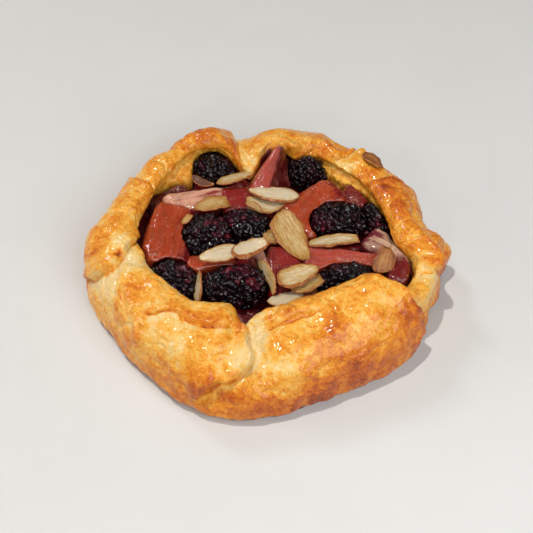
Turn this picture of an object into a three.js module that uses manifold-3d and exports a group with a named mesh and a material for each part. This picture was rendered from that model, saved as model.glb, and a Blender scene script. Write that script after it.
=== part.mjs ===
// A free-form fruit galette: a folded pastry shell with a filling of cooked fruit,
// whole dark berries, cut pieces of stone fruit and rhubarb, and flaked almonds.
// Millimetres, +Z up, origin at the centre of the underside.
// Angles are in degrees, counted from +X towards +Y, so the front is at 270.
import * as THREE from 'three';
import { ConvexGeometry } from 'three/addons/geometries/ConvexGeometry.js';
import { mergeVertices } from 'three/addons/utils/BufferGeometryUtils.js';
import Module from 'manifold-3d';

// ---- driving dimensions of the pastry ----
const POLE = { x: -0.2, y: 2.05 }; // where the angles below are counted from
const FLOOR = 4.0; // pastry under the filling
const FOOT_TUCK = 2.6; // the wall's foot draws in by this much at the plate
const FOOT_HEIGHT = 5.0; // over this height
const WALL_BULGE = 0.85; // 1 is a quarter ellipse from foot to crest, less is fuller
const CREST_AT = 0.72; // share of the surface, foot to lip, that lies outside the crest
const MEAN_RADIUS = 68; // turns angles into lengths for the folds
const MEAN_SWEEP = 56; // length of the surface from foot to lip
const FOLD_SOFTNESS = 1.2; // added to the width of each fold's edge

// Outer edge: [angle, radius]. A corner of the dough sheet sticks out on the right.
const OUTLINE = [
  [351, 75], [355, 76], [358.5, 78.3], [2, 79], [5.5, 74], [9, 72], [12, 71.5], [20, 73.8], [31, 75.3],
  [42, 72], [60, 71.5], [69, 76.5], [82, 76.7], [98, 73], [107, 78.6], [124, 73], [134, 74], [144, 76],
  [152, 75], [166, 76.5], [178, 80], [188, 79.2], [196, 79.5], [206, 77], [216, 76], [232, 77],
  [243, 79.5], [259, 81.5], [272, 78], [287, 74], [300, 74.5], [318, 77.5], [333, 74.8], [340, 74.2],
  [346, 75.5],
];

// Lip of the opening: [angle, radius, height of the crest beside it].
const RIM = [
  [348, 62, 26], [356, 54.5, 28], [4, 52.5, 28.5], [14, 52, 29], [24, 51.5, 29], [33, 51.5, 28.5],
  [43, 52, 27.5], [52, 51.8, 27], [60, 53, 27], [68, 53, 27.5], [76, 49.5, 28], [84, 54.5, 27], [90, 52, 26],
  [97, 43.5, 25.5], [102, 41.5, 25], [107, 46, 26.5], [112, 55, 29], [119, 58, 29.7], [126, 59.5, 29.2],
  [133, 58, 28.9], [147, 56.3, 28.5], [163, 54.8, 28.5], [180, 55.5, 29.5], [190, 53.5, 29.5],
  [201, 52.5, 29], [213, 50, 29.5], [226, 49.3, 30], [239, 47.5, 30], [249, 44.5, 29.5],
  [253, 46, 28.5], [257, 49, 26], [262, 44, 28], [272, 41.5, 29], [293, 41, 31], [303, 42.5, 31.5],
  [314, 45, 32], [324, 48.5, 32.5], [328, 53, 31.5], [332, 61.5, 27], [338, 64, 26],
];

// Crest: [angle, how far it stands outside the lip, how far the lip hangs below it].
const CREST = [
  [0, 6.5, 5], [14, 6.5, 5], [25, 6, 4.5], [38, 5.5, 3], [62, 5.5, 3], [72, 5, 5], [84, 4, 4],
  [95, 5, 7], [104, 6, 7], [112, 5, 4], [120, 4.5, 3], [145, 4, 3], [165, 4.5, 3.5],
  [185, 7, 4], [230, 6, 4], [300, 6, 4], [320, 7, 4], [335, 8, 5], [350, 8, 6],
];

// Inner wall under the lip: [angle, radius].
const WALL = [
  [0, 60], [10, 58], [20, 54], [32, 51], [44, 49.8], [56, 49.8], [62, 53], [68, 60], [80, 62],
  [100, 58], [112, 62], [122, 61], [128, 56], [133, 50.5], [137, 53], [144, 57], [152, 60.5],
  [165, 62], [230, 60], [250, 61], [280, 60], [310, 61], [335, 65], [345, 64], [352, 63],
];

// Folds of the dough. A path runs over the surface as [angle, share of the way from foot
// to lip]. The dough to the left of the path steps up by `rise` and eases back over
// `reach`, and the dough to its right dips by `dip` over `width`. `edge` is half the
// width of the step, and `fadeIn` and `fadeOut` are the shares of the path that end it.
const FOLDS = [
  { path: [[247, 0.1], [250.6, 0.2], [256.4, 0.36], [261, 0.405], [264, 0.5], [262.4, 0.62], [258.5, 0.77], [255.5, 1]],
    rise: 2.6, reach: 15, dip: 2, width: 9, edge: 0.9, fadeIn: 0.15, fadeOut: 0.02 },
  { path: [[264, 0.9], [266.5, 0.75], [270.5, 0.55], [273.5, 0.4]],
    rise: 1.5, reach: 20, dip: 0.3, width: 6, edge: 3.5, fadeIn: 0.2, fadeOut: 0.4 },
  { path: [[234, 0.64], [242.9, 0.651], [251.1, 0.679], [255, 0.767]],
    rise: 1.1, reach: 6, dip: 1.1, width: 4, edge: 0.8, fadeIn: 0.2, fadeOut: 0.1 },
  { path: [[265, 0.7], [277.7, 0.683], [289.4, 0.68], [298, 0.7]],
    rise: 1.5, reach: 7, dip: 1.6, width: 5, edge: 1, fadeIn: 0.1, fadeOut: 0.3 },
  { path: [[223, 0.47], [227, 0.618], [229.3, 0.658], [233, 0.661], [240.2, 0.572]],
    rise: 0.9, reach: 8, dip: 0.6, width: 4, edge: 0.5, fadeIn: 0.15, fadeOut: 0.3 },
  { path: [[188.3, 0.08], [194.3, 0.278], [197.9, 0.52], [195.9, 0.633], [191, 0.75], [184, 1]],
    rise: 1.8, reach: 12, dip: 1.4, width: 7, edge: 0.7, fadeIn: 0.08, fadeOut: 0.02 },
  { path: [[196, 0.7], [202.6, 0.552], [210.6, 0.38]],
    rise: 1.4, reach: 14, dip: 0.5, width: 6, edge: 1.5, fadeIn: 0.2, fadeOut: 0.4 },
  { path: [[326.5, 0.06], [327.5, 0.205], [326.3, 0.45], [326.8, 0.582], [325.5, 0.8], [324.5, 1]],
    rise: 2.2, reach: 14, dip: 2.6, width: 9, edge: 0.9, fadeIn: 0.08, fadeOut: 0.02 },
  { path: [[343, 0.95], [343.5, 0.72], [346.5, 0.45], [349, 0.2]],
    rise: 2, reach: 9, dip: 1.2, width: 7, edge: 1.2, fadeIn: 0.15, fadeOut: 0.2 },
  { path: [[106, 1], [105, 0.6], [104, 0.2]],
    rise: 1.8, reach: 14, dip: 1.4, width: 7, edge: 1.2, fadeIn: 0.02, fadeOut: 0.3 },
  { path: [[156, 0.95], [153, 0.75], [149, 0.15]],
    rise: 1.2, reach: 12, dip: 1, width: 6, edge: 0.9, fadeIn: 0.2, fadeOut: 0.2 },
  { path: [[133, 0.12], [130, 0.4], [127, 0.95]],
    rise: 1.2, reach: 12, dip: 1, width: 6, edge: 0.9, fadeIn: 0.2, fadeOut: 0.2 },
  { path: [[57, 0.9], [54, 0.7], [50, 0.12]],
    rise: 1.4, reach: 12, dip: 1.2, width: 7, edge: 0.9, fadeIn: 0.1, fadeOut: 0.2 },
  { path: [[24, 0.1], [26, 0.4], [33, 0.95]],
    rise: 1.4, reach: 12, dip: 1.2, width: 6, edge: 0.9, fadeIn: 0.15, fadeOut: 0.1 },
];

// Soft swellings and hollows of the dough: [angle, share of the way up, radius, height].
const SWELLS = [
  [0.5, 0.16, 5, 2.5], [6, 0.5, 7, -5], [8, 0.62, 8, 1], [20, 0.5, 8, -0.8], [41.5, 0.5, 3.5, 1.1],
  [42.8, 0.655, 5, 1.65], [49, 0.52, 5, 4.5], [57.5, 0.56, 5.5, -4], [64, 0.7, 4, 1.6],
  [70, 0.5, 8, -0.8], [79, 0.8, 4.5, 1.6], [99, 0.92, 5, 1.6], [114, 0.72, 9, 1.2],
  [122, 0.35, 10, -0.8], [140, 0.6, 9, 1.2], [168, 0.6, 10, 1], [183, 0.35, 8, 1.4],
  [193.5, 0.655, 3.5, -1.6], [206, 0.25, 9, -0.9], [226, 0.3, 12, 1], [236, 0.18, 8, -0.8],
  [248, 0.5, 10, 1], [262.5, 0.4, 4, -2], [268, 0.7, 9, -1.6], [284, 0.35, 14, 1.2],
  [306, 0.45, 10, 0.8], [313, 0.75, 12, 1], [335, 0.62, 7, -1.6], [340, 0.5, 9, 1.2],
  [352, 0.6, 6, 3],
];

// ---- driving dimensions of the filling ----
const GAP = 0.35; // clearance between pieces that lie against each other
const LIP_CLEARANCE = 2; // and to the lip, where the folds step
const BED_TOP = 8.6; // level of the cooked juice and fruit under the pieces
const BED_WAVE = 0.5;
const ROOM_TOP = 50; // clear above every piece
const DRUPELET_DEPTH = 0.09; // of a berry's half size
const CUT_EDGE = 0.2; // bevel of cut fruit, as a share of its half size
const ALMOND_THICKNESS = 1.3;
const CRUST_COLUMNS = 96;
const CRUST_ROWS = 16;

// Pieces are [name, x, y, z of the centre, length, width, height, yaw, pitch, roll]. Yaw
// turns the length from +X towards +Y, pitch lifts its far end and roll turns about it.
const BERRIES = [
  ['berry_back_left', -25, 49.2, 17.2, 22.6, 19, 17, 0, 0, 0],
  ['berry_back_right', 18.3, 46.1, 17.6, 20, 18, 18, 0, 0, 0],
  ['berry_right', 30.7, 13.8, 18.2, 28, 20, 18.5, 5, 0, 0],
  ['berry_far_right', 48, 17.4, 17, 22, 16, 17, 65, 0, 0],
  ['berry_left', -26, 4.6, 19, 24.5, 22.5, 20, -63, 0, 0],
  ['berry_centre', -8.7, 10.2, 18, 27, 18.5, 18.5, -15, 0, 0],
  ['berry_front_left', -38.7, -18, 17, 27, 17, 15, -45, 0, 0],
  ['berry_front', -13.8, -22.8, 18.4, 30, 21, 19, 7, 0, 0],
  ['berry_front_right', 32.6, -19, 17.4, 29, 17, 16, 7, 0, 0],
];

// Fruit ends with how far its cross-section comes to a ridge, from 0 for a block to 1 for
// a wedge, and with how far it narrows towards its far end.
const FRUIT = [
  ['fruit_left_wedge', -43.5, 5, 16, 33, 23, 16, 84, 3, 14, 0.25, 0.12],
  ['fruit_far_left', -44.6, 27.8, 14.6, 19, 13, 11, 28, 0, 0, 0.2, 0.12],
  ['fruit_pink_slice', -29.8, 25.8, 16.2, 32, 14, 14, 18, 0, 16, 0.3, 0.2],
  ['fruit_back_cube', -12.2, 25.4, 15.8, 17, 15, 14, 10, 0, 6, 0.1, 0.1],
  ['fruit_back_wedge', 1.6, 41.4, 18, 28, 21, 20, 69, 15, 0, 0.8, 0.6],
  ['fruit_orange', 21.4, 21.0, 16.4, 28, 22, 15, 38, 8, 12, 0.12, 0.08],
  ['fruit_right_skin', 42, 28.4, 15, 18, 16, 13, -35, 0, 0, 0.3, 0.1],
  ['fruit_middle', 3, 12.6, 15, 24, 16, 12, 100, 0, 0, 0, 0.12],
  ['fruit_stub', 6.8, -11.4, 16.2, 17, 14, 14, 95, 12, 0, 0, 0.08],
  ['fruit_stick', 31, -9.2, 15.8, 35, 12, 12, -5, 0, 8, 0.15, 0.12],
  ['fruit_right_pale', 50.6, -1.4, 15.4, 19, 13, 12, -35, 0, 0, 0.2, 0.2],
  ['fruit_right_crimson', 55.4, -12.4, 15.8, 22, 13, 14, 78, 0, 0, 0.3, -0.15],
  ['fruit_red_bit', -25, -9.4, 14.8, 21, 10, 11, 8, 0, 0, 0.3, 0.2],
  ['fruit_pale_sliver', -2.8, -9, 16.2, 16, 6, 12, -67, 0, 0, 0.5, 0.2],
  ['fruit_front_bit', 8.4, -25.3, 14.2, 16, 10, 9, 0, 0, 0, 0.2, 0.15],
  ['fruit_back_strip', -11.2, 46.9, 14.6, 12, 7, 12, -28, 0, 0, 0.4, 0.12],
];

const ALMONDS = [
  ['almond_back', -14.6, 35.1, 25, 17.5, 9, 22, 0, -24],
  ['almond_long', 2.6, 24.8, 25.8, 23, 9.5, 173, 0, 10],
  ['almond_long_under', -0.6, 20.8, 23.6, 18, 10.5, 175, 0, 8],
  ['almond_toasted', -24.6, 19, 24.4, 15.5, 9, 12, 0, -12],
  ['almond_edge_middle', -4.4, 13.8, 23.4, 16, 6, -57, 0, 60],
  ['almond_pair_left', -20, -10.8, 25.8, 18.5, 9, -160, 0, 8],
  ['almond_pair_right', -8, -8.4, 27, 16.5, 9, 31, 0, -6],
  ['almond_leaning', 10, 1.2, 24.4, 27, 12, -68, -6, 0],
  ['almond_right', 27.6, -1.4, 23, 22, 8, 8, 0, -18],
  ['almond_front', 12.3, -21.8, 25, 18.5, 10, 27, 0, 0],
  ['almond_front_under', 15.8, -24.4, 22.8, 14, 9, 25, 0, 0],
  ['almond_front_white', 6.9, -30, 21, 15, 7.5, 19, 0, -15],
  ['almond_edge_left', -29, -24, 20.4, 15.5, 6.5, -87, 0, 58],
  ['almond_edge_front', -0.6, -20, 22, 18.5, 6.5, -67, 0, 55],
  ['almond_skin', -29.2, 33.6, 24.6, 11.5, 3.2, -29, 0, 20],
  ['almond_brown', 48, -12.6, 24.2, 12, 7.5, 68, 18, 0],
  ['almond_tip', -34.8, 9.8, 24.8, 6, 4, 60, 0, 0],
  ['almond_olive', 2, 2.8, 22, 9, 7, -28, 0, 0],
  ['almond_front_skin', 16.9, -28, 21.4, 7, 5, 38, 0, 0],
  ['almond_rim', 47, 42.8, 29.3, 11, 7, -50, -4, -20],
];

const ON_THE_RIM = 'almond_rim'; // the one piece that lies outside the opening

// ---- materials ----
const look = (color, roughness) => new THREE.MeshStandardMaterial({ color, roughness, metalness: 0 });
const PASTRY = look('#d9963f', 0.42);
const JUICE = look('#3a0b10', 0.25);
const BERRY = look('#1d1019', 0.3);
const FLESH = look('#a8321f', 0.3);
const ALMOND = look('#e6cf9a', 0.55);

// ---- small helpers ----
const radians = (degrees) => (degrees * Math.PI) / 180;
const wrapped = (angle) => ((angle % 360) + 360) % 360;
const turnBetween = (from, to) => wrapped(to - from + 180) - 180;

function smoothStep(low, high, value) {
  const t = Math.min(Math.max((value - low) / (high - low), 0), 1);
  return t * t * (3 - 2 * t);
}

// Smooth value of one column of a table keyed by angle, going round the circle.
function around(table, angle, column = 1) {
  const keys = table.map((row) => [wrapped(row[0]), row[column]]).sort((a, b) => a[0] - b[0]);
  const count = keys.length;
  const at = wrapped(angle);
  const next = keys.findIndex((key) => key[0] > at);
  const i2 = next < 0 ? 0 : next;
  const [k0, k1, k2, k3] = [-2, -1, 0, 1].map((step) => keys[(i2 + step + count) % count]);
  const span = wrapped(k2[0] - k1[0]);
  const t = wrapped(at - k1[0]) / span;
  const slope1 = ((k2[1] - k0[1]) * span) / (wrapped(k1[0] - k0[0]) + span);
  const slope2 = ((k3[1] - k1[1]) * span) / (span + wrapped(k3[0] - k2[0]));
  const t2 = t * t;
  const t3 = t2 * t;
  return (2 * t3 - 3 * t2 + 1) * k1[1] + (t3 - 2 * t2 + t) * slope1
    + (3 * t2 - 2 * t3) * k2[1] + (t3 - t2) * slope2;
}

// ---- the pastry's surface ----

// Radius and height of the smooth surface. `share` runs from 0 at the foot of the wall,
// over the crest, to 1 at the lip.
function smoothSurface(angle, share) {
  const foot = around(OUTLINE, angle);
  const lip = around(RIM, angle);
  const crestHeight = around(RIM, angle, 2);
  const overhang = around(CREST, angle);
  const drop = around(CREST, angle, 2);
  const crest = lip + overhang;
  const quarter = Math.PI / 2;
  const up = Math.min(share / CREST_AT, 1) * quarter;
  const over = Math.max((share - CREST_AT) / (1 - CREST_AT), 0) * quarter;
  const radius = share <= CREST_AT
    ? crest + (foot - crest) * Math.max(Math.cos(up), 0) ** WALL_BULGE
    : crest - overhang * Math.sin(over);
  const height = share <= CREST_AT
    ? crestHeight * Math.sin(up) ** WALL_BULGE
    : crestHeight - drop * (1 - Math.cos(over));
  return { radius: radius - FOOT_TUCK * (1 - smoothStep(0, FOOT_HEIGHT, height)), height };
}

// Nearest place of a fold's path: its distance, which side of it, and how far along.
function nearestOnPath(path, angle, share) {
  const origin = path[0][0];
  const flat = ([a, s]) => [radians(turnBetween(origin, a)) * MEAN_RADIUS, s * MEAN_SWEEP];
  const points = path.map(flat);
  const [x, y] = flat([angle, share]);
  const lengths = points.slice(1).map((p, k) => Math.hypot(p[0] - points[k][0], p[1] - points[k][1]));
  const whole = lengths.reduce((sum, length) => sum + length, 0);
  let best = { distance: Infinity, side: 1, along: 0 };
  let passed = 0;
  lengths.forEach((length, k) => {
    const [px, py] = points[k];
    const dx = (points[k + 1][0] - px) / length;
    const dy = (points[k + 1][1] - py) / length;
    const run = Math.min(Math.max((x - px) * dx + (y - py) * dy, 0), length);
    const ex = x - px - run * dx;
    const ey = y - py - run * dy;
    const distance = Math.hypot(ex, ey);
    if (distance < best.distance) {
      best = { distance, side: Math.sign(dx * ey - dy * ex) || 1, along: (passed + run) / whole };
    }
    passed += length;
  });
  return best;
}

function foldRelief(angle, share) {
  let relief = 0;
  for (const fold of FOLDS) {
    const near = nearestOnPath(fold.path, angle, share);
    const offset = near.distance * near.side;
    const halfStep = fold.edge + FOLD_SOFTNESS;
    const stepped = smoothStep(-halfStep, halfStep, offset);
    const raised = fold.rise * Math.exp(-Math.max(offset, 0) / fold.reach);
    const dipped = -fold.dip * Math.exp(-((Math.min(offset, 0) / fold.width) ** 2));
    const fade = smoothStep(0, fold.fadeIn, near.along) * smoothStep(0, fold.fadeOut, 1 - near.along);
    relief += (dipped * (1 - stepped) + raised * stepped) * fade;
  }
  return relief;
}

function swellRelief(angle, share) {
  let relief = 0;
  for (const [at, up, radius, height] of SWELLS) {
    const dx = radians(turnBetween(at, angle)) * MEAN_RADIUS;
    const dy = (share - up) * MEAN_SWEEP;
    relief += height * Math.exp(-(dx * dx + dy * dy) / (radius * radius));
  }
  return relief;
}

function polar(angle, radius, height) {
  const a = radians(angle);
  return [radius * Math.cos(a), radius * Math.sin(a), height];
}

// A point of the pastry's outside, with folds and swellings raised along its normal.
function crustPoint(angle, share) {
  const { radius, height } = smoothSurface(angle, share);
  const step = 0.001;
  const before = smoothSurface(angle, Math.max(share - step, 0));
  const after = smoothSurface(angle, Math.min(share + step, 1));
  const run = after.radius - before.radius;
  const climb = after.height - before.height;
  const length = Math.hypot(run, climb);
  const relief = (foldRelief(angle, share) + swellRelief(angle, share)) * smoothStep(0, 0.12, share);
  return polar(angle, radius + (relief * climb) / length, Math.max(height - (relief * run) / length, 0));
}

// The inside of the shell below the lip, from the lip's underside to the floor.
function innerRings(angle) {
  const lip = around(RIM, angle);
  const lipHeight = around(RIM, angle, 2) - around(CREST, angle, 2);
  const wall = around(WALL, angle);
  return [
    polar(angle, lip + 0.6, lipHeight - 1.5),
    polar(angle, lip + (wall - lip) * 0.35, lipHeight - 3.8),
    polar(angle, wall, lipHeight - 6),
    polar(angle, wall, 12),
    polar(angle, wall - 2, FLOOR + 1.5),
    polar(angle, wall - 7, FLOOR),
  ];
}

// ---- closed solids ----

// A closed body from rings of equal length, capped by a point below and a point above.
function bodyFromRings(rings, firstPole, lastPole) {
  const columns = rings[0].length;
  const positions = [...rings.flat(), firstPole, lastPole].flat();
  const first = rings.length * columns;
  const last = first + 1;
  const topRow = (rings.length - 1) * columns;
  const faces = [];
  for (let i = 0; i < columns; i += 1) {
    const j = (i + 1) % columns;
    for (let row = 0; row < topRow; row += columns) {
      faces.push(row + i, row + j, row + columns + j, row + i, row + columns + j, row + columns + i);
    }
    faces.push(first, j, i, last, topRow + i, topRow + j);
  }
  const geometry = new THREE.BufferGeometry();
  geometry.setAttribute('position', new THREE.Float32BufferAttribute(positions, 3));
  geometry.setIndex(faces);
  return geometry;
}

function ringAngles(columns) {
  return Array.from({ length: columns }, (_, i) => (i * 360) / columns);
}

function crustGeometry() {
  const angles = ringAngles(CRUST_COLUMNS);
  const outside = Array.from({ length: CRUST_ROWS + 1 }, (_, row) => (
    angles.map((angle) => crustPoint(angle, row / CRUST_ROWS))
  ));
  const columns = angles.map(innerRings);
  const inside = columns[0].map((_, ring) => columns.map((column) => column[ring]));
  return bodyFromRings([...outside, ...inside], [0, 0, 0], [0, 0, FLOOR]);
}

// The bed of juice and soft fruit fills the shell's floor and stays clear of the wall.
function bedGeometry() {
  const angles = ringAngles(CRUST_COLUMNS);
  const wave = (angle, share) => BED_WAVE * Math.sin(radians(3 * angle)) * Math.cos(5 * share);
  const ring = (inset, height) => angles.map((angle) => polar(angle, around(WALL, angle) - inset, height));
  const top = (share) => angles.map((angle) => (
    polar(angle, (around(WALL, angle) - 1.6) * share, BED_TOP - BED_WAVE + wave(angle, share))
  ));
  const rings = [ring(7.6, FLOOR + GAP), ring(2.8, FLOOR + 2.1), top(1), top(0.55)];
  return bodyFromRings(rings, [0, 0, FLOOR + GAP], [0, 0, BED_TOP - BED_WAVE]);
}

// Radius of the opening, where the folds of the dough reach in past the plain lip.
function opening(angle) {
  return Math.min(...[0.85, 0.9, 0.95, 1].map((share) => {
    const [x, y] = crustPoint(angle, share);
    return Math.hypot(x, y);
  }));
}

// The room over the bed and inside the shell, clear of both, that the pieces lie in.
function roomGeometry() {
  const angles = ringAngles(CRUST_COLUMNS);
  const columns = angles.map((angle) => {
    const lip = around(RIM, angle);
    const lipHeight = around(RIM, angle, 2) - around(CREST, angle, 2);
    const wall = around(WALL, angle);
    return [
      polar(angle, wall - 1.2 - GAP, BED_TOP + GAP),
      polar(angle, wall - GAP, 12),
      polar(angle, wall - GAP, lipHeight - 6),
      polar(angle, lip + (wall - lip) * 0.35 - LIP_CLEARANCE, lipHeight - 4.8),
      polar(angle, opening(angle) - LIP_CLEARANCE, lipHeight - 2.4),
      polar(angle, opening(angle) - LIP_CLEARANCE, ROOM_TOP),
    ];
  });
  const rings = columns[0].map((_, ring) => columns.map((column) => column[ring]));
  return bodyFromRings(rings, [0, 0, BED_TOP + GAP], [0, 0, ROOM_TOP]);
}

const onlyPositions = (geometry) => {
  geometry.deleteAttribute('normal');
  geometry.deleteAttribute('uv');
  return mergeVertices(geometry, 1e-4);
};

// Moves every vertex by a function of its place on the unit sphere.
function shapedSphere(detail, shape) {
  const geometry = onlyPositions(new THREE.IcosahedronGeometry(1, detail));
  const position = geometry.attributes.position;
  const v = new THREE.Vector3();
  for (let i = 0; i < position.count; i += 1) {
    shape(v.fromBufferAttribute(position, i));
    position.setXYZ(i, v.x, v.y, v.z);
  }
  return geometry;
}

// A berry: an ellipsoid whose drupelets are bumps, one at each vertex of a coarser sphere.
function berryGeometry(length, width, height) {
  const coarse = onlyPositions(new THREE.IcosahedronGeometry(1, 1)).attributes.position;
  const centres = Array.from({ length: coarse.count }, (_, i) => new THREE.Vector3().fromBufferAttribute(coarse, i));
  return shapedSphere(3, (v) => {
    const nearest = Math.min(...centres.map((centre) => centre.distanceTo(v)));
    v.multiplyScalar(1 - DRUPELET_DEPTH * smoothStep(0, 0.3, nearest));
    v.multiply(new THREE.Vector3(length / 2, width / 2, height / 2));
  });
}

// A cut piece of soft fruit: a block with bevelled edges that narrows towards its far end
// by `taper` and, as `ridge` goes from 0 to 1, towards its top.
function fruitGeometry(length, width, height, ridge, taper) {
  const signs = [-1, 1];
  const bevel = (along, axis) => (along === axis ? 1 : 1 - CUT_EDGE);
  const corners = signs.flatMap((x) => signs.flatMap((y) => signs.flatMap((z) => [0, 1, 2].map((axis) => {
    const far = x * bevel(0, axis);
    const up = z * bevel(2, axis);
    const half = y * bevel(1, axis) * (1 - taper * far) * (1 - (ridge * (up + 1)) / 2.2);
    return new THREE.Vector3(far * length, half * width, up * (1 - 0.1 * far) * height).divideScalar(2);
  }))));
  return onlyPositions(new ConvexGeometry(corners));
}

// A flake of almond: a thin curved slice, pointed at one end, with both faces split alike.
function almondGeometry(length, width, thickness) {
  const stations = 5;
  const across = 2;
  const point = (i, j, side) => {
    const t = (2 * i) / stations - 1;
    const half = (width / 2) * Math.max(1 - Math.abs(t) ** 2.4, 0.04) ** 0.6 * (1 - 0.22 * t);
    const w = (2 * j) / across - 1;
    const bow = 0.05 * length * (1 - t * t) - 0.06 * width * w * w;
    return [(t * length) / 2, w * half, bow + (side * thickness) / 2];
  };
  const columns = across + 1;
  const side = (stations + 1) * columns;
  const positions = [];
  for (const face of [1, -1]) {
    for (let i = 0; i <= stations; i += 1) {
      for (let j = 0; j <= across; j += 1) positions.push(...point(i, j, face));
    }
  }
  const faces = [];
  for (let i = 0; i < stations; i += 1) {
    for (let j = 0; j < across; j += 1) {
      const a = i * columns + j;
      const b = a + columns;
      faces.push(a, b, b + 1, a, b + 1, a + 1);
      faces.push(side + a, side + b + 1, side + b, side + a, side + a + 1, side + b + 1);
    }
  }
  const rim = [];
  for (let i = 0; i < stations; i += 1) rim.push(i * columns);
  for (let j = 0; j < across; j += 1) rim.push(stations * columns + j);
  for (let i = stations; i > 0; i -= 1) rim.push(i * columns + across);
  for (let j = across; j > 0; j -= 1) rim.push(j);
  rim.forEach((a, k) => {
    const b = rim[(k + 1) % rim.length];
    faces.push(a, side + a, side + b, a, side + b, b);
  });
  const geometry = new THREE.BufferGeometry();
  geometry.setAttribute('position', new THREE.Float32BufferAttribute(positions, 3));
  geometry.setIndex(faces);
  return geometry;
}

// ---- laying the pieces in the shell ----
const wasm = await Module();
wasm.setup();

function toSolid(geometry, matrix) {
  const placed = geometry.clone().applyMatrix4(matrix);
  return new wasm.Manifold(new wasm.Mesh({
    numProp: 3,
    vertProperties: new Float32Array(placed.attributes.position.array),
    triVerts: new Uint32Array(placed.index.array),
  }));
}

function toGeometry(solid) {
  const { vertProperties, triVerts } = solid.getMesh();
  const geometry = new THREE.BufferGeometry();
  geometry.setAttribute('position', new THREE.Float32BufferAttribute(vertProperties, 3));
  geometry.setIndex(new THREE.Uint32BufferAttribute(triVerts, 1));
  return geometry;
}

const largest = (solid) => solid.decompose().sort((a, b) => b.volume() - a.volume())[0];

const room = toSolid(roomGeometry(), new THREE.Matrix4().makeTranslation(POLE.x, POLE.y, 0));

// Each piece is cut back from the shell, the bed and the pieces laid before it, so that
// it lies against them.
const laid = [];

function layPiece(name, whole, cutter, centre, [yaw, pitch, roll], material) {
  const mesh = new THREE.Mesh(undefined, material);
  mesh.name = name;
  mesh.position.set(...centre);
  mesh.rotation.set(radians(roll), radians(-pitch), radians(yaw), 'ZYX');
  mesh.updateMatrix();
  const box = new THREE.Box3().setFromBufferAttribute(whole.attributes.position).applyMatrix4(mesh.matrix);
  let solid = toSolid(whole, mesh.matrix);
  if (name !== ON_THE_RIM) solid = solid.intersect(room);
  for (const other of laid) {
    if (other.box.intersectsBox(box)) solid = solid.subtract(other.solid);
  }
  mesh.geometry = toGeometry(largest(solid)).applyMatrix4(mesh.matrix.clone().invert());
  laid.push({ box: box.expandByScalar(2 * GAP), solid: toSolid(cutter, mesh.matrix) });
  return mesh;
}

const grown = (sizes, share) => sizes.map((size) => size * share + 2 * GAP);

function layBerry([name, x, y, z, length, width, height, ...turn]) {
  const sizes = [length, width, height];
  const clear = new THREE.Vector3(...grown(sizes, 1.05)).divideScalar(2);
  const cutter = shapedSphere(1, (v) => v.multiply(clear));
  return layPiece(name, berryGeometry(...sizes), cutter, [x, y, z], turn, BERRY);
}

function layFruit([name, x, y, z, length, width, height, yaw, pitch, roll, ...narrowing]) {
  const sizes = [length, width, height];
  const cutter = fruitGeometry(...grown(sizes, 1), ...narrowing);
  return layPiece(name, fruitGeometry(...sizes, ...narrowing), cutter, [x, y, z], [yaw, pitch, roll], FLESH);
}

function layAlmond([name, x, y, z, length, width, ...turn]) {
  const sizes = [length, width, ALMOND_THICKNESS];
  return layPiece(name, almondGeometry(...sizes), almondGeometry(...grown(sizes, 1)), [x, y, z], turn, ALMOND);
}

// The shell and its bed are worked out about their pole; the pieces are placed in the part's frame.
const shell = new THREE.Group();
shell.position.set(POLE.x, POLE.y, 0);
for (const [name, geometry, material] of [
  ['crust', crustGeometry(), PASTRY],
  ['filling', bedGeometry(), JUICE],
]) {
  const mesh = new THREE.Mesh(geometry, material);
  mesh.name = name;
  shell.add(mesh);
}

const galette = new THREE.Group();
galette.add(shell, ...BERRIES.map(layBerry), ...FRUIT.map(layFruit), ...ALMONDS.map(layAlmond));

export default galette;
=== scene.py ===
"""A free-form fruit galette: folded pastry, dark berries, cut fruit and flaked almonds.

Lengths are in millimetres until a mesh is made, which is in metres. Angles are in degrees
about the pastry's pole, from +X towards +Y, so the front of the tart is at 270.
"""
import math
from itertools import product

import bmesh
import bpy
import numpy as np
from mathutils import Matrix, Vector


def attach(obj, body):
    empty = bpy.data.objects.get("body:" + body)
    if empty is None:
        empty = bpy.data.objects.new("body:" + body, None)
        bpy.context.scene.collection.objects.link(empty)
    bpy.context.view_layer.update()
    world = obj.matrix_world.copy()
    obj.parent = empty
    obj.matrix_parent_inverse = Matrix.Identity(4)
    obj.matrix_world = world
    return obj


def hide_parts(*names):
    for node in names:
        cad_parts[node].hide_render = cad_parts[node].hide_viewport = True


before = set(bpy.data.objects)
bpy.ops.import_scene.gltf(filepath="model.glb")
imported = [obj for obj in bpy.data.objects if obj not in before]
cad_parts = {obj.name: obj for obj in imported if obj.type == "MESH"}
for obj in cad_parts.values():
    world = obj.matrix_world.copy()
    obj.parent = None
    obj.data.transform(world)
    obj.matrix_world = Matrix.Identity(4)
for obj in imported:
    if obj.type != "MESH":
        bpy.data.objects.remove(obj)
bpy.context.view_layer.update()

MM = 0.001

# ---- driving dimensions of the pastry, the same as the CAD solid's ----
POLE = (-0.2, 2.05)  # where the angles are counted from
FLOOR = 4.0  # pastry under the filling
FOOT_TUCK = 2.6  # the wall's foot draws in by this much at the plate
FOOT_HEIGHT = 5.0  # over this height
WALL_BULGE = 0.85  # 1 is a quarter ellipse from foot to crest, less is fuller
CREST_AT = 0.72  # share of the surface, foot to lip, that lies outside the crest
MEAN_RADIUS = 68.0  # turns angles into lengths for the folds
MEAN_SWEEP = 56.0  # length of the surface from foot to lip

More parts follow.
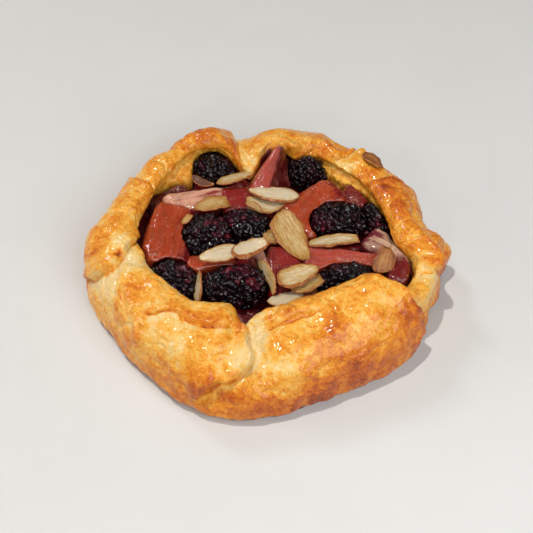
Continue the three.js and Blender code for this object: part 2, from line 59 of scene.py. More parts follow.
# Outer edge: (angle, radius).
OUTLINE = [
    (351, 75), (355, 76), (358.5, 78.3), (2, 79), (5.5, 74), (9, 72), (12, 71.5), (20, 73.8),
    (31, 75.3), (42, 72), (60, 71.5), (69, 76.5), (82, 76.7), (98, 73), (107, 78.6), (124, 73),
    (134, 74), (144, 76), (152, 75), (166, 76.5), (178, 80), (188, 79.2), (196, 79.5), (206, 77),
    (216, 76), (232, 77), (243, 79.5), (259, 81.5), (272, 78), (287, 74), (300, 74.5), (318, 77.5),
    (333, 74.8), (340, 74.2), (346, 75.5),
]

# Lip of the opening: (angle, radius, height of the crest beside it).
RIM = [
    (348, 62, 26), (356, 54.5, 28), (4, 52.5, 28.5), (14, 52, 29), (24, 51.5, 29), (33, 51.5, 28.5),
    (43, 52, 27.5), (52, 51.8, 27), (60, 53, 27), (68, 53, 27.5), (76, 49.5, 28), (84, 54.5, 27),
    (90, 52, 26), (97, 43.5, 25.5), (102, 41.5, 25), (107, 46, 26.5), (112, 55, 29),
    (119, 58, 29.7), (126, 59.5, 29.2), (133, 58, 28.9), (147, 56.3, 28.5), (163, 54.8, 28.5),
    (180, 55.5, 29.5), (190, 53.5, 29.5), (201, 52.5, 29), (213, 50, 29.5), (226, 49.3, 30),
    (239, 47.5, 30), (249, 44.5, 29.5), (253, 46, 28.5), (257, 49, 26), (262, 44, 28),
    (272, 41.5, 29), (293, 41, 31), (303, 42.5, 31.5), (314, 45, 32), (324, 48.5, 32.5),
    (328, 53, 31.5), (332, 61.5, 27), (338, 64, 26),
]

# Crest: (angle, how far it stands outside the lip, how far the lip hangs below it).
CREST = [
    (0, 6.5, 5), (14, 6.5, 5), (25, 6, 4.5), (38, 5.5, 3), (62, 5.5, 3), (72, 5, 5), (84, 4, 4),
    (95, 5, 7), (104, 6, 7), (112, 5, 4), (120, 4.5, 3), (145, 4, 3), (165, 4.5, 3.5), (185, 7, 4),
    (230, 6, 4), (300, 6, 4), (320, 7, 4), (335, 8, 5), (350, 8, 6),
]

# Inner wall under the lip: (angle, radius).
WALL = [
    (0, 60), (10, 58), (20, 54), (32, 51), (44, 49.8), (56, 49.8), (62, 53), (68, 60), (80, 62),
    (100, 58), (112, 62), (122, 61), (128, 56), (133, 50.5), (137, 53), (144, 57), (152, 60.5),
    (165, 62), (230, 60), (250, 61), (280, 60), (310, 61), (335, 65), (345, 64), (352, 63),
]

# Folds of the dough: path as (angle, share of the way from foot to lip), then the step up
# on the left of the path, how far it reaches, the dip on its right, how wide that is, half
# the width of the step, and the shares of the path over which it fades in and out.
FOLDS = [
    ([(247, 0.1), (250.6, 0.2), (256.4, 0.36), (261, 0.405), (264, 0.5),
      (262.4, 0.62), (258.5, 0.77), (255.5, 1)], 2.6, 15, 2, 9, 0.9, 0.15, 0.02),
    ([(264, 0.9), (266.5, 0.75), (270.5, 0.55), (273.5, 0.4)], 1.5, 20, 0.3, 6, 3.5, 0.2, 0.4),
    ([(234, 0.64), (242.9, 0.651), (251.1, 0.679), (255, 0.767)], 1.1, 6, 1.1, 4, 0.8, 0.2, 0.1),
    ([(265, 0.7), (277.7, 0.683), (289.4, 0.68), (298, 0.7)], 1.5, 7, 1.6, 5, 1, 0.1, 0.3),
    ([(223, 0.47), (227, 0.618), (229.3, 0.658), (233, 0.661), (240.2, 0.572)],
     0.9, 8, 0.6, 4, 0.5, 0.15, 0.3),
    ([(188.3, 0.08), (194.3, 0.278), (197.9, 0.52), (195.9, 0.633), (191, 0.75), (184, 1)],
     1.8, 12, 1.4, 7, 0.7, 0.08, 0.02),
    ([(196, 0.7), (202.6, 0.552), (210.6, 0.38)], 1.4, 14, 0.5, 6, 1.5, 0.2, 0.4),
    ([(326.5, 0.06), (327.5, 0.205), (326.3, 0.45), (326.8, 0.582), (325.5, 0.8), (324.5, 1)],
     2.2, 14, 2.6, 9, 0.9, 0.08, 0.02),
    ([(343, 0.95), (343.5, 0.72), (346.5, 0.45), (349, 0.2)], 2, 9, 1.2, 7, 1.2, 0.15, 0.2),
    ([(106, 1), (105, 0.6), (104, 0.2)], 1.8, 14, 1.4, 7, 1.2, 0.02, 0.3),
    ([(156, 0.95), (153, 0.75), (149, 0.15)], 1.2, 12, 1, 6, 0.9, 0.2, 0.2),
    ([(133, 0.12), (130, 0.4), (127, 0.95)], 1.2, 12, 1, 6, 0.9, 0.2, 0.2),
    ([(57, 0.9), (54, 0.7), (50, 0.12)], 1.4, 12, 1.2, 7, 0.9, 0.1, 0.2),
    ([(24, 0.1), (26, 0.4), (33, 0.95)], 1.4, 12, 1.2, 6, 0.9, 0.15, 0.1),
]

# Soft swellings and hollows of the dough: (angle, share of the way up, radius, height).
SWELLS = [
    (0.5, 0.16, 5, 2.5), (6, 0.5, 7, -5), (8, 0.62, 8, 1), (20, 0.5, 8, -0.8),
    (41.5, 0.5, 3.5, 1.1), (42.8, 0.655, 5, 1.65), (49, 0.52, 5, 4.5), (57.5, 0.56, 5.5, -4),
    (64, 0.7, 4, 1.6), (70, 0.5, 8, -0.8), (79, 0.8, 4.5, 1.6), (99, 0.92, 5, 1.6),
    (114, 0.72, 9, 1.2), (122, 0.35, 10, -0.8), (140, 0.6, 9, 1.2), (168, 0.6, 10, 1),
    (183, 0.35, 8, 1.4), (193.5, 0.655, 3.5, -1.6), (206, 0.25, 9, -0.9), (226, 0.3, 12, 1),
    (236, 0.18, 8, -0.8), (248, 0.5, 10, 1), (262.5, 0.4, 4, -2), (268, 0.7, 9, -1.6),
    (284, 0.35, 14, 1.2), (306, 0.45, 10, 0.8), (313, 0.75, 12, 1), (335, 0.62, 7, -1.6),
    (340, 0.5, 9, 1.2), (352, 0.6, 6, 3),
]

RELIEF_FROM = 0.12  # share of the surface over which the relief grows from nothing

# Inner wall: it curls back from the lip over these depths, then drops to its foot.
LIP_DEPTHS = (1.5, 3.8, 6)
WALL_FOOT = 12
FLOOR_TUCK = 7  # the floor starts this far inside the wall

# Where the juice has stained the inner wall: in full up to the first height, not at all
# above the second, and higher where it has boiled up: (angle, half width, height in mm).
STAIN_HEIGHTS = (12.5, 16.5)
BOILED_UP = [(91, 5, 13), (33, 8, 5), (112, 7, 3), (5, 10, 3)]

# ---- finer relief of the pastry, seen only here ----
CRUST_COLUMNS = 720
CRUST_ROWS = 104
WALL_STEPS = 5  # rows between two rings of the inner wall
SEAM_DEPTH = 0.8  # of the crease at the foot of each fold's step
SEAM_HALF_WIDTH = 0.6
ANGLE_WOBBLE = 1.3  # how far folds, grooves and patches stray from their paths
SHARE_WOBBLE = 0.022

# Grooves pressed into the dough: path, depth, half width.
GROOVES = [
    ([(210, 0.1), (212.5, 0.153), (217.3, 0.26), (221, 0.37)], 0.7, 0.7),
    ([(274, 0.6), (282.6, 0.578), (288.8, 0.573), (298, 0.577)], 0.9, 2.2),
    ([(353, 0.88), (356, 0.76), (357.5, 0.6), (356, 0.44), (352, 0.34)], 1.3, 1),
    ([(1, 0.92), (4, 0.76), (4, 0.6), (2, 0.48)], 0.7, 1.1),
    ([(79, 0.76), (77, 0.68), (74, 0.66), (72, 0.72), (71.8, 0.82), (73, 0.96)], 1.8, 0.8),
    ([(296, 0.08), (300, 0.2), (306, 0.28), (313, 0.27)], 0.5, 0.8),
    ([(70, 0.98), (67, 0.8), (66, 0.6)], 0.9, 0.8),
    ([(112, 0.98), (108, 0.84), (107, 0.7)], 0.8, 0.8),
    ([(143, 0.9), (140, 0.72), (142, 0.5)], 0.7, 0.9),
    ([(171, 0.85), (172, 0.62), (169, 0.4)], 0.7, 1),
    ([(12, 0.9), (17, 0.74), (16, 0.5)], 0.8, 1),
]

# Small lumps and pits: (angle, share of the way up, radius, height).
LUMPS = [
    (101, 0.95, 3.2, 2), (97, 0.8, 3, -0.9), (75.2, 0.8, 2.4, 2), (85, 0.75, 3.5, 1.2),
    (92, 0.86, 3, -1.4), (252, 0.3, 3, 1), (255.5, 0.24, 3, -0.8), (193.5, 0.655, 1.3, -2),
    (45.4, 0.61, 4, 1.1), (42.5, 0.54, 3, 0.7), (38.5, 0.57, 3.5, 1),
]

# Random relief: rounded pillows with sharp creases between them (size, height), how far
# the creases are bent (size, shift), and blisters of the top layer (size, height).
PILLOWS = [(16, 1.3), (8, 0.85), (3.6, 0.36), (1.9, 0.17)]
BENT_CREASES = (8, 2.2)
BLISTERS = (2.6, 0.35)

# Changes of the baking beside a fold: its raised edge and the hollow under it; along its seam,
# painted shade.
EDGE_BROWNING = 0.2
HOLLOW_PALENESS = 0.22
SEAM_PAINTED_SHADE = 0.35
GROOVE_PALENESS = 0.15

# How far the dough is baked, from 0, pale cream, to 1, dark brown:
# (angle, on the crest, on the wall's side).
BAKING = [
    (0, 0.5, 0.48), (20, 0.62, 0.52), (35, 0.52, 0.5), (50, 0.42, 0.42), (63, 0.5, 0.42),
    (80, 0.45, 0.42), (98, 0.35, 0.32), (115, 0.58, 0.46), (130, 0.46, 0.42), (150, 0.44, 0.4),
    (170, 0.42, 0.38), (185, 0.42, 0.36), (195, 0.26, 0.28), (204, 0.22, 0.18), (212, 0.4, 0.34),
    (230, 0.37, 0.32), (247, 0.38, 0.38), (258, 0.3, 0.28), (264, 0.16, 0.3), (270, 0.28, 0.36),
    (285, 0.42, 0.42), (300, 0.44, 0.48), (315, 0.36, 0.4), (322, 0.42, 0.5), (330, 0.28, 0.34),
    (340, 0.34, 0.36), (350, 0.46, 0.5),
]

# Browned and pale patches, and painted shade in one pit: (angle, share of the way up, radius,
# change of the baking).
PATCHES = [
    (252, 0.31, 6, 0.2), (257, 0.25, 4, 0.14), (262, 0.15, 9, 0.26), (264, 0.6, 6, -0.2),
    (264, 0.47, 6, -0.25), (276, 0.38, 9, -0.1), (282, 0.13, 9, 0.2), (300, 0.2, 8, 0.18),
    (295, 0.43, 9, 0.1), (321, 0.33, 5, 0.22), (320, 0.42, 4, 0.2), (313, 0.18, 6, 0.12),
    (247, 0.635, 4, 0.3), (241, 0.49, 7, -0.15), (232, 0.5, 7, -0.12), (198, 0.25, 7, -0.15),
    (205, 0.42, 6, -0.15), (211, 0.56, 6, 0.2), (186, 0.52, 6, 0.1), (191, 0.45, 4, 0.12),
    # The dark spot at 193.5 degrees, 0.655 of the way up, is painted shade in the pit made there by
    # a lump and a swell.
    (193.5, 0.655, 1.4, 0.7), (198, 0.75, 6, -0.25), (188.5, 0.74, 6, -0.4), (190, 0.6, 3.5, -0.2),
    (23, 0.76, 5, 0.25), (14, 0.72, 4, 0.15), (63, 0.63, 2.6, 0.5), (38, 0.75, 5, 0.15),
    (352, 0.6, 3.5, 0.25), (335, 0.5, 8, -0.12),
    (342, 0.85, 6, -0.25), (108, 0.72, 5, 0.15), (120, 0.8, 6, 0.12), (99, 0.85, 6, -0.2),
    (76, 0.75, 5, -0.15), (46, 0.8, 5, -0.15), (52, 0.9, 6, -0.2),
]

# ---- small helpers ----


def smooth_step(low, high, value):
    t = np.clip((value - low) / (high - low), 0, 1)
    return t * t * (3 - 2 * t)


def bell(distance, width):
    """1 at no distance, 0.37 at the width and nearly 0 at twice the width."""
    return np.exp(-((distance / width) ** 2))


def turn_between(start, angle):
    """The short way round from one angle to another, from -180 to 180."""
    return (angle - start + 180) % 360 - 180


def around(table, angle, column=1):
    """Smooth value of one column of a table keyed by angle, going round the circle."""
    keys, values = np.array(sorted((row[0] % 360, row[column]) for row in table), float).T
    count = len(keys)
    at = np.mod(angle, 360)
    k1 = (np.searchsorted(keys, at, side="right") - 1) % count
    k0, k2, k3 = (k1 - 1) % count, (k1 + 1) % count, (k1 + 2) % count
    span = (keys[k2] - keys[k1]) % 360
    before = (keys[k1] - keys[k0]) % 360
    after = (keys[k3] - keys[k2]) % 360
    t = ((at - keys[k1]) % 360) / span
    slope1 = (values[k2] - values[k0]) * span / (before + span)
    slope2 = (values[k3] - values[k1]) * span / (span + after)
    return (
        (2 * t**3 - 3 * t**2 + 1) * values[k1]
        + (t**3 - 2 * t**2 + t) * slope1
        + (3 * t**2 - 2 * t**3) * values[k2]
        + (t**3 - t**2) * slope2
    )


def rounded(points, steps):
    """Rows of points with `steps` times as many rows, on a smooth curve through them."""
    padded = np.concatenate([points[:1], points, points[-1:]])
    made = []
    for p0, p1, p2, p3 in zip(padded, padded[1:], padded[2:], padded[3:]):
        for t in np.arange(steps) / steps:
            made.append(
                p1
                + 0.5 * t * (p2 - p0)
                + t**2 * (p0 - 2.5 * p1 + 2 * p2 - 0.5 * p3)
                + t**3 * (1.5 * (p1 - p2) + 0.5 * (p3 - p0))
            )
    return np.array(made + [points[-1]])


def hashed(cell, seed):
    """A scattered whole number for each cell of a cubic grid."""
    mixed = cell[:, 0] * 73856093 ^ cell[:, 1] * 19349663 ^ cell[:, 2] * 83492791 ^ seed * 40503
    mixed = ((mixed ^ (mixed >> 13)) * 1274126177) & 0xFFFFFFFF
    return mixed ^ (mixed >> 15)


def noise(points, size, seed=0):
    """Smooth noise, about -1 to 1, in lumps about `size` across; size may differ by axis."""
    at = points / size
    cell = np.floor(at).astype(np.int64)
    part = at - cell
    fade = part**3 * (part * (part * 6 - 15) + 10)
    total = np.zeros(len(at))
    for corner in product((0, 1), repeat=3):
        weight = np.prod(np.where(corner, fade, 1 - fade), axis=1)
        bits = hashed(cell + corner, seed)
        slope = np.stack([bits, bits >> 10, bits >> 20], axis=1) % 1024 / 511.5 - 1
        total += weight * np.sum(slope * (part - corner), axis=1)
    return 1.6 * total


def mesh_piece(name, points, faces, material, node, slot, **attributes):
    """A smooth-shaded object made from points in mm, standing for a CAD node."""
    mesh = bpy.data.meshes.new(name)
    mesh.from_pydata((np.asarray(points) * MM).tolist(), [], faces)
    mesh.shade_smooth()
    for key, values in attributes.items():
        layer = mesh.attributes.new(key, "FLOAT", "POINT")
        layer.data.foreach_set("value", np.asarray(values, np.float32))
    mesh.materials.append(material)
    piece = bpy.data.objects.new(name, mesh)
    bpy.context.scene.collection.objects.link(piece)
    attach(piece, "root")
    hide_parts(node)
    return piece


def ring_faces(rings, columns):
    """Faces of a closed body made of rings, with a last point below and above them."""
    first = rings * columns
    index = np.arange(first).reshape(rings, columns)
    onward = np.roll(index, -1, axis=1)
    quads = np.stack([index[:-1], onward[:-1], onward[1:], index[1:]], axis=-1).reshape(-1, 4)
    under = [(first, b, a) for a, b in zip(index[0].tolist(), onward[0].tolist())]
    over = [(first + 1, a, b) for a, b in zip(index[-1].tolist(), onward[-1].tolist())]
    return quads.tolist() + under + over


# ---- materials ----


class Look:
    """A material built node by node. Numbers given by name go on the shader's own sockets."""

    def __init__(self, name, **constants):
        self.material = bpy.data.materials.new(name)
        self.material.use_nodes = True
        self.tree = self.material.node_tree
        self.shader = self.tree.nodes["Principled BSDF"]
        self.place = self.add("ShaderNodeTexCoord").outputs["Object"]
        for socket, value in constants.items():
            self.shader.inputs[socket.replace("_", " ")].default_value = value

    def add(self, kind, **settings):
        node = self.tree.nodes.new(kind)
        for key, value in settings.items():
            setattr(node, key, value)
        return node

    def feed(self, socket, value):
        if isinstance(value, bpy.types.NodeSocket):
            self.tree.links.new(value, socket)
        elif isinstance(value, tuple):
            socket.default_value = (*value, 1)
        else:
            socket.default_value = value

    def attribute(self, name):
        return self.add("ShaderNodeAttribute", attribute_name=name).outputs["Fac"]

    def noise(self, size, detail=3, distortion=0.0, stretch=None):
        """Noise from 0 to 1 in lumps about `size` mm across."""
        node = self.add("ShaderNodeTexNoise")
        place = self.place
        if stretch:
            scaled = self.add("ShaderNodeMapping")
            scaled.inputs["Scale"].default_value = stretch
            self.feed(scaled.inputs["Vector"], place)
            place = scaled.outputs["Vector"]
        self.feed(node.inputs["Vector"], place)
        node.inputs["Scale"].default_value = 1 / (size * MM)
        node.inputs["Detail"].default_value = detail
        node.inputs["Distortion"].default_value = distortion
        return node.outputs[0]

    def joined(self, *parts):
        """A place made from two or three numbers."""
        node = self.add("ShaderNodeCombineXYZ")
        for socket, part in zip(node.inputs, parts):
            self.feed(socket, part)
        return node.outputs[0]

    def math(self, operation, a, b=0.0, c=0.0):
        node = self.add("ShaderNodeMath", operation=operation)
        for socket, value in zip(node.inputs, (a, b, c)):
            self.feed(socket, value)
        return node.outputs[0]

    def varied(self, value, by, amount):
        """`value` raised and lowered by noise from 0 to 1, `amount` from end to end."""
        return self.math("MULTIPLY_ADD", self.math("SUBTRACT", by, 0.5), amount, value)

    def between(self, value, low, high, to_low=0.0, to_high=1.0):
        """`value` mapped from low..high to to_low..to_high, and kept inside that range."""
        node = self.add("ShaderNodeMapRange")
        for socket, given in zip(node.inputs, (value, low, high, to_low, to_high)):
            self.feed(socket, given)
        return node.outputs[0]

    def mix(self, share, a, b, blend="MIX"):
        node = self.add("ShaderNodeMix", data_type="RGBA", blend_type=blend)
        self.feed(node.inputs[0], share)
        self.feed(node.inputs[6], a)
        self.feed(node.inputs[7], b)
        return node.outputs[2]

    def ramp(self, share, stops):
        node = self.add("ShaderNodeValToRGB")
        elements = node.color_ramp.elements
        while len(elements) < len(stops):
            elements.new(0.5)
        for element, (position, color) in zip(elements, stops):
            element.position = position
            element.color = (*color, 1)
        self.feed(node.inputs[0], share)
        return node.outputs[0]

    def bump(self, height, depth, before=None):
        """Relief `depth` mm deep, laid over an earlier bump if there is one."""
        node = self.add("ShaderNodeBump")
        node.inputs["Strength"].default_value = 1.0
        node.inputs["Distance"].default_value = depth * MM
        self.feed(node.inputs["Height"], height)
        if before is not None:
            self.feed(node.inputs["Normal"], before)
        return node.outputs[0]

    def finish(self, color, roughness, normal):
        self.feed(self.shader.inputs["Base Color"], color)
        self.feed(self.shader.inputs["Roughness"], roughness)
        self.feed(self.shader.inputs["Normal"], normal)
        return self.material


JUICE_RED = (0.11, 0.006, 0.012)
ORANGE_RED = (0.38, 0.042, 0.006)
DEEP_RED = (0.085, 0.002, 0.003)
CRIMSON = (0.15, 0.001, 0.003)
RED_FLESH = (0.24, 0.009, 0.007)
PINK = (0.41, 0.06, 0.042)
PALE_PINK = (0.64, 0.33, 0.22)
PLUM = (0.04, 0.002, 0.006)
PLUM_RED = (0.16, 0.012, 0.025)
CREAM = (0.58, 0.36, 0.24)
# Colour of painted speckled highlights on the fruit.
SPECKLE_HIGHLIGHT = (0.75, 0.36, 0.27)


def pastry_look():
    """Egg-washed dough: cream in the creases, golden, then brown where it is baked most."""
    look = Look(
        "pastry",
        Subsurface_Weight=0.2,
        Subsurface_Radius=(1.0, 0.5, 0.15),
        Subsurface_Scale=1.6 * MM,
        Specular_IOR_Level=0.2,
        Coat_Weight=0.45,
        Coat_Roughness=0.1,
    )
    mottle = look.noise(2.6, 5, 0.8)
    # The attribute read here is the baking, with painted shade along fold seams, under the foot and
    # in one pit.
    bake = look.varied(look.attribute("bake"), look.noise(8, 4, 0.8), 0.6)
    bake = look.varied(bake, mottle, 0.75)
    bake = look.varied(bake, look.noise(0.8, 3, 0.3), 0.5)
    color = look.ramp(bake, [
        (0.0, (0.80, 0.58, 0.27)), (0.18, (0.83, 0.53, 0.16)), (0.36, (0.83, 0.40, 0.05)),
        (0.55, (0.72, 0.24, 0.012)), (0.78, (0.53, 0.11, 0.006)), (1.0, (0.26, 0.04, 0.005)),
    ])
    buttery = look.between(look.noise(3, 4), 0.4, 0.6)
    yellow = look.mix(buttery, (0.88, 0.46, 0.07), (0.72, 0.25, 0.012))
    color = look.mix(look.attribute("inner"), color, yellow)
    color = look.mix(look.attribute("stain"), color, JUICE_RED)
    washed = look.between(look.noise(9, 3), 0.42, 0.6)
    roughness = look.between(look.noise(1.6, 3), 0.35, 0.65, 0.14, 0.5)
    roughness = look.math("MULTIPLY_ADD", look.math("SUBTRACT", 1.0, washed), 0.25, roughness)
    normal = look.bump(mottle, 0.8)
    normal = look.bump(look.noise(1.2, 4, 0.3), 0.4, normal)
    normal = look.bump(look.noise(0.5, 3), 0.32, normal)
    return look.finish(color, roughness, normal)


def juice_look():
    look = Look("juice", Specular_IOR_Level=0.4, Coat_Weight=0.3, Coat_Roughness=0.06)
    color = look.mix(look.noise(5, 4), (0.045, 0.002, 0.004), (0.24, 0.010, 0.012))
    roughness = look.between(look.noise(2.5), 0.3, 0.7, 0.2, 0.45)
    normal = look.bump(look.noise(1.6, 4), 0.6)
    return look.finish(color, roughness, normal)


def berry_look():
    """Wet drupelets, black-purple with a red one here and there."""
    look = Look("dark_berry", Specular_IOR_Level=0.0, Coat_Weight=0.7, Coat_Roughness=0.05)
    color = look.ramp(look.attribute("tone"), [
        (0.0, (0.0015, 0.0006, 0.0015)), (0.4, (0.007, 0.0015, 0.003)),
        (0.7, (0.035, 0.004, 0.009)), (1.0, (0.11, 0.007, 0.014)),
    ])
    bloom = look.between(look.noise(3.5, 3), 0.5, 0.7, 0, 0.15)
    color = look.mix(bloom, color, (0.02, 0.006, 0.018))
    roughness = look.between(look.noise(1.2), 0.3, 0.7, 0.2, 0.6)
    normal = look.bump(look.noise(1.1, 4, 0.6), 0.9)
    return look.finish(color, roughness, normal)


def fruit_look(name, main, second):
    """Cooked flesh: two colours that meet where the piece says, with fibres and wet gloss, painted
    speckled highlights, and the juice's colour low down that is partly painted shade.
    """
    look = Look(
        name,
        Subsurface_Weight=0.3,
        Subsurface_Radius=(1.0, 0.15, 0.08),
        Subsurface_Scale=1.5 * MM,
        Specular_IOR_Level=0.15,
        Coat_Weight=0.8,
        Coat_Roughness=0.14,
    )
    share = look.varied(look.attribute("second"), look.noise(2.6, 5, 0.5), 0.7)
    look.place = look.joined(*map(look.attribute, ("along", "across", "through")))
    fibre = look.noise(1.1, 5, 0.5, stretch=(0.22, 1, 1))
    share = look.varied(share, fibre, 0.6)
    color = look.mix(look.between(share, 0.15, 0.85), main, second)
    dark = tuple(0.25 * value for value in main)
    light = tuple(0.75 * value + 0.25 * pale for value, pale in zip(main, PALE_PINK))
    darkened = look.noise(4, 5, 0.6, stretch=(0.5, 1, 1))
    color = look.mix(look.between(darkened, 0.45, 0.75, 0, 0.45), color, dark)
    color = look.mix(look.between(look.noise(5, 3), 0.5, 0.7, 0, 0.3), color, light)
    color = look.mix(look.between(fibre, 0.55, 0.75, 0, 0.3), color, light)
    # Painted highlight: pale speckles in patches, standing for speckled wet highlights on the
    # flesh.
    highlight_patches = look.between(look.noise(7, 3), 0.5, 0.62)
    highlight_speckles = look.between(look.noise(0.9, 4), 0.5, 0.66, 0, 0.4)
    color = look.mix(look.math("MULTIPLY", highlight_patches, highlight_speckles), color, SPECKLE_HIGHLIGHT)
    # Lower down the flesh turns the juice's colour: partly juice on it, partly painted shade low
    # between the pieces.
    color = look.mix(look.attribute("deep"), color, JUICE_RED)
    roughness = look.between(look.noise(1.5), 0.3, 0.7, 0.2, 0.5)
    normal = look.bump(look.noise(2.2, 4), 0.4)
    normal = look.bump(fibre, 0.2, normal)
    normal = look.bump(look.noise(0.55, 4), 0.42, normal)
    return look.finish(color, roughness, normal)


def almond_look():
    """A pale slice whose sides are brown skin, toasted or stained on some flakes."""
    look = Look(
        "almond",
        Subsurface_Weight=0.4,
        Subsurface_Radius=(1.0, 0.7, 0.35),
        Subsurface_Scale=1.2 * MM,
        Specular_IOR_Level=0.3,
        Coat_Weight=0.12,
        Coat_Roughness=0.3,
    )
    look.place = look.joined(look.attribute("along"), look.attribute("across"))
    grain = look.noise(0.9, 4, 0.2, stretch=(0.14, 1, 1))
    tone = look.varied(look.attribute("tone"), grain, 0.75)
    tone = look.varied(tone, look.noise(2.6, 5, 0.6), 0.45)
    color = look.ramp(tone, [
        (0.0, (0.62, 0.51, 0.35)), (0.22, (0.50, 0.33, 0.13)), (0.45, (0.40, 0.20, 0.045)),
        (0.75, (0.30, 0.10, 0.02)), (1.0, (0.10, 0.025, 0.008)),
    ])
    mottled = look.between(look.noise(1.5, 4), 0.35, 0.65)
    skin = look.mix(mottled, (0.46, 0.17, 0.045), (0.2, 0.05, 0.012))
    skin_share = look.varied(look.attribute("skin"), look.noise(1.2, 4), 1.2)
    color = look.mix(look.between(skin_share, 0.35, 0.65), color, skin)
    roughness = look.math("MULTIPLY_ADD", look.noise(2), 0.4, look.math("MULTIPLY", tone, 0.4))
    normal = look.bump(look.noise(1.6, 5, 0.4), 0.3)
    normal = look.bump(grain, 0.35, normal)
    return look.finish(color, roughness, normal)


# ---- the pastry ----


def smooth_surface(angle, share):
    """Radius and height of the plain surface: share 0 is the foot, 1 the lip."""
    foot = around(OUTLINE, angle)
    lip = around(RIM, angle)
    crest_height = around(RIM, angle, 2)
    overhang = around(CREST, angle)
    drop = around(CREST, angle, 2)
    crest = lip + overhang
    up = np.minimum(share / CREST_AT, 1) * math.pi / 2
    over = np.maximum((share - CREST_AT) / (1 - CREST_AT), 0) * math.pi / 2
    rising = share <= CREST_AT
    rise_radius = crest + (foot - crest) * np.cos(up).clip(0) ** WALL_BULGE
    radius = np.where(rising, rise_radius, crest - overhang * np.sin(over))
    rise_height = crest_height * np.sin(up) ** WALL_BULGE
    height = np.where(rising, rise_height, crest_height - drop * (1 - np.cos(over)))
    return radius - FOOT_TUCK * (1 - smooth_step(0, FOOT_HEIGHT, height)), height


def nearest_on_path(path, angle, share):
    """Distance to a path over the dough, positive on its left, and the share of it passed."""
    points = np.array(path, float)
    origin = points[0, 0]
    points[:, 0] = turn_between(origin, points[:, 0])
    scale = np.array([math.radians(MEAN_RADIUS), MEAN_SWEEP])
    knots = rounded(points, 5) * scale
    x = turn_between(origin, angle) * scale[0]
    y = share * scale[1]
    lengths = np.hypot(*np.diff(knots, axis=0).T)
    offset = np.full(x.shape, 1e9)
    along = np.zeros(x.shape)
    passed = 0.0
    for start, end, length in zip(knots, knots[1:], lengths):
        dx, dy = (end - start) / length
        run = np.clip((x - start[0]) * dx + (y - start[1]) * dy, 0, length)
        ex = x - start[0] - run * dx
        ey = y - start[1] - run * dy
        distance = np.hypot(ex, ey)
        side = np.where(dx * ey - dy * ex < 0, -1, 1)
        nearer = distance < abs(offset)
        offset = np.where(nearer, distance * side, offset)
        along = np.where(nearer, (passed + run) / lengths.sum(), along)
        passed += length
    return offset, along


def folds_at(angle, share):
    """Height of the folds, and how much more the dough is baked beside them, with painted shade
    along each fold's seam.
    """
    relief = np.zeros(angle.shape)
    browning_and_seam_shade = np.zeros(angle.shape)
    for path, rise, reach, dip, width, edge, fade_in, fade_out in FOLDS:
        offset, along = nearest_on_path(path, angle, share)
        stepped = smooth_step(-edge, edge, offset)
        raised = rise * np.exp(-np.maximum(offset, 0) / reach)
        dipped = -dip * bell(np.minimum(offset, 0), width)
        seam = -SEAM_DEPTH * bell(offset + edge, SEAM_HALF_WIDTH)
        fade = smooth_step(0, fade_in, along) * smooth_step(0, fade_out, 1 - along)
        relief += (dipped * (1 - stepped) + raised * stepped + seam) * fade
        browning_and_seam_shade += EDGE_BROWNING * fade * bell(offset - edge - 0.6, 1.5)
        browning_and_seam_shade -= HOLLOW_PALENESS * fade * bell(offset + 2.2, 2.2)
        # Painted shade: a dark line along the seam at the foot of the step, where the crease lies
        # in shade.
        browning_and_seam_shade += SEAM_PAINTED_SHADE * fade * bell(offset + edge, 0.5)
    for path, depth, half_width in GROOVES:
        offset, along = nearest_on_path(path, angle, share)
        fade = smooth_step(0, 0.25, along) * smooth_step(0, 0.25, 1 - along)
        groove = fade * bell(offset, half_width)
        relief -= depth * groove
        browning_and_seam_shade -= GROOVE_PALENESS * groove
    return relief, browning_and_seam_shade


def spots(table, angle, share):
    """Sum of round soft spots: (angle, share, radius, amount)."""
    total = np.zeros(angle.shape)
    for at, up, radius, amount in table:
        dx = np.radians(turn_between(at, angle)) * MEAN_RADIUS
        dy = (share - up) * MEAN_SWEEP
        total += amount * bell(np.hypot(dx, dy), radius)
    return total


def crinkled(points):
    """Random relief of baked dough at some points: pillows, creases and blisters."""
    size, shift = BENT_CREASES
    warped = points + shift * np.stack([noise(points, size, seed) for seed in (11, 12, 13)], axis=1)
    relief = np.zeros(len(points))
    for seed, (size, height) in enumerate(PILLOWS):
        relief += height * (abs(noise(warped, size, seed)) ** 0.8 - 0.35)
    size, height = BLISTERS
    blistered = smooth_step(-0.1, 0.5, noise(points, 14, 22))
    return relief + height * blistered * noise(warped, size, 23).clip(0)


def polar(angle, radius, height):
    """Points in the part's frame from angle, radius and height about the pole."""
    turn = np.radians(angle)
    x = POLE[0] + radius * np.cos(turn)
    y = POLE[1] + radius * np.sin(turn)
    return np.stack(np.broadcast_arrays(x, y, height), axis=-1)


def raised_along_normal(angle, radius, height, relief):
    """Points of a surface given in rings, moved out by the relief and kept off the plate."""
    run = np.gradient(radius, axis=0)
    climb = np.gradient(height, axis=0)
    length = np.hypot(run, climb)
    raised_height = np.maximum(height - relief * run / length, 0)
    return polar(angle, radius + relief * climb / length, raised_height)


def baking_and_foot_shade(angle, share, height):
    """How far the dough is baked on the whole: crest, side and a darker foot, partly browning and
    partly painted shade.
    """
    crest = around(BAKING, angle)
    side = around(BAKING, angle, 2)
    bake = 0.05 + side + (crest - side) * smooth_step(0.35, 0.68, share)
    bake += 0.2 * (1 - smooth_step(0.05, 0.4, share))
    # Darker below about 4 mm: browning of the underside, and painted shade of the dark line under
    # the tucked foot.
    return bake + 0.3 * (1 - smooth_step(0.8, 4.2, height))


